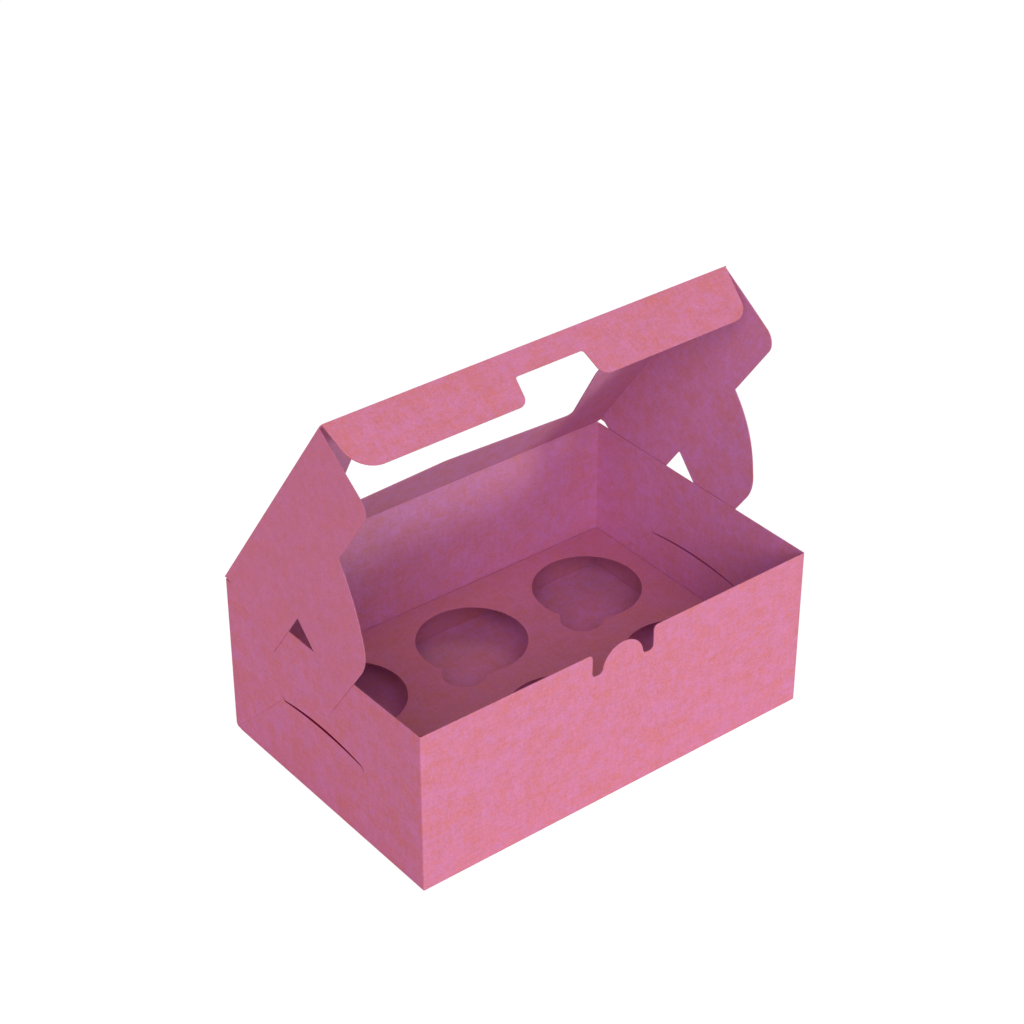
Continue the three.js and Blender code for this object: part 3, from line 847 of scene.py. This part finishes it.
# The left wing's outer face took the dye more evenly than the rest of the sheet, so it looks calmer.
calmer_board = paperboard("uncoated paperboard, evenly dyed pink", BOARD_SALMON, BOARD_MAGENTA,
                          BOARD_INNER_TINT, mottle=CALMER_MOTTLE)
wing_boards = {"left_wing": calmer_board, "right_wing": pink_board}
for name, side in (("left_wing", -1), ("right_wing", 1)):
    tongue_front = arc((0, 0), TONGUE_ARC, root_deg, blend_deg)
    swell = TONGUE_SWELL[name] / TONGUE_ARC * np.sin(np.linspace(0, math.pi, len(tongue_front)))
    wing_outline = outline([
        (WING_FOLD_START, 0, 0), (WING_FRONT_TOP[name], 0, 0),
        (WING_FRONT_FOOT[name], WING_BAND, WING_FRONT_CORNER),
        tongue_front * (1 + swell[:, None]),
        arc((blend_u, blend_v), TONGUE_BLEND, blend_deg, 90)[1:],
        (HEEL[0], TONGUE_REACH, HEEL_TIP_CORNER), (*HEEL, HEEL_CORNER),
        (NECK[name], NECK_REACH, NECK_CORNER), (NECK_ROOT, WING_BAND, NECK_ROOT_CORNER),
        (WING_REAR, WING_BAND, WING_REAR_CORNER), (WING_REAR, WING_REAR_RISE, WING_RISE_CORNER),
    ])
    wing_loops = [divided(wing_outline, WING_STEP)]
    wing_columns = np.arange(WING_STEP, LID_LENGTH, WING_STEP)
    wing_rows = np.arange(WING_FIRST_ROW, TONGUE_REACH, WING_STEP)
    wing_points = grid(wing_columns, wing_rows, wing_loops, WING_CLEARANCE)
    wing_shell = board_shell(wing_loops, wing_points, wing_place(side), [CUT_RIM])
    board_object(name + "_board", [wing_shell], wing_boards[name], name, name,
                 WING_BLANK_START[name])

# Studio
# A plain white table under a white surround. Five soft lamps light the box: from the front right, the
# upper left, low on the left, above and behind.
FLOOR_HALF = 6.0
FLOOR_DROP = 0.0002
TABLE_WHITE = "#e7e7e7"
TABLE_SHARE = 0.12
GLOW_WHITE = "#ffffff"
GLOW_STRENGTH = 1.1
SURROUND_TINT = (1.0, 0.68, 0.86, 1.0)
SURROUND_STRENGTH = 0.275
LAMP_DISTANCE = 2.0

floor_mesh = bpy.data.meshes.new("studio_floor")
floor_corners = np.array([(-1, -1, 0), (1, -1, 0), (1, 1, 0), (-1, 1, 0)]) * FLOOR_HALF
floor_corners[:, 2] = -FLOOR_DROP
floor_mesh.from_pydata(floor_corners.tolist(), [], [(0, 1, 2, 3)])
studio_floor = bpy.data.objects.new("studio_floor", floor_mesh)
bpy.context.scene.collection.objects.link(studio_floor)


def seen_directly(tree):
    """1 for camera, glossy and transmission rays and 0 for all others: the largest of the three."""
    path = add_node(tree, "ShaderNodeLightPath")
    seen = path.outputs["Is Camera Ray"]
    for ray in ("Is Glossy Ray", "Is Transmission Ray"):
        seen = add_node(tree, "ShaderNodeMath", {"operation": "MAXIMUM"}, _0=seen,
                        _1=path.outputs[ray]).outputs[0]
    return seen


# White laminate: seen directly it glows white, and a small share of it is a matt table that takes the
# shadow. The glow is a little over 1, because that share is darker than white in the light too.
floor_material = bpy.data.materials.new("white laminate table")
floor_material.use_nodes = True
tree = floor_material.node_tree
tree.nodes.clear()
table = add_node(tree, "ShaderNodeBsdfDiffuse", Color=linear(TABLE_WHITE))
glow = add_node(tree, "ShaderNodeEmission", Color=linear(GLOW_WHITE), Strength=GLOW_STRENGTH)
share = add_node(tree, "ShaderNodeMath", {"operation": "MULTIPLY"}, _0=seen_directly(tree),
                 _1=1 - TABLE_SHARE)
mixed = add_node(tree, "ShaderNodeMixShader", Fac=share.outputs[0], _1=table.outputs[0],
                 _2=glow.outputs[0])
add_node(tree, "ShaderNodeOutputMaterial", Surface=mixed.outputs[0])
floor_mesh.materials.append(floor_material)

world = bpy.data.worlds.new("studio")
bpy.context.scene.world = world
world.use_nodes = True
tree = world.node_tree
tree.nodes.clear()
soft = add_node(tree, "ShaderNodeBackground", Color=SURROUND_TINT, Strength=SURROUND_STRENGTH)
white = add_node(tree, "ShaderNodeBackground", Color=linear(GLOW_WHITE), Strength=1.0)
mixed = add_node(tree, "ShaderNodeMixShader", Fac=seen_directly(tree), _1=soft.outputs[0],
                 _2=white.outputs[0])
add_node(tree, "ShaderNodeOutputWorld", Surface=mixed.outputs[0])

# Each lamp's way from the box, power, softness in degrees and tint.
SUNS = {
    "key": ((0.35, -0.93, 0.12), 0.88, 12, (0.92, 1.0, 0.88)),
    "fill": ((-0.518, -0.655, 0.549), 1.62, 40, (1.0, 0.64, 0.83)),
    "low": ((-0.60, -0.79, 0.08), 0.35, 40, (1.0, 0.92, 0.66)),
    "top": ((0.10, -0.25, 0.96), 0.32, 30, (1.0, 0.90, 0.15)),
    "rear": ((0.55, 0.80, 0.22), 1.30, 30, (1.0, 0.85, 0.92)),
}
for name, (way, power, softness_deg, tint) in SUNS.items():
    sun_data = bpy.data.lights.new(name, "SUN")
    sun_data.energy = power
    sun_data.angle = math.radians(softness_deg)
    sun_data.color = tint
    sun = bpy.data.objects.new(name, sun_data)
    sun.rotation_euler = Vector(way).to_track_quat("Z", "Y").to_euler()
    sun.location = Vector(way) * LAMP_DISTANCE
    bpy.context.scene.collection.objects.link(sun)

bpy.context.scene.view_settings.view_transform = "Standard"
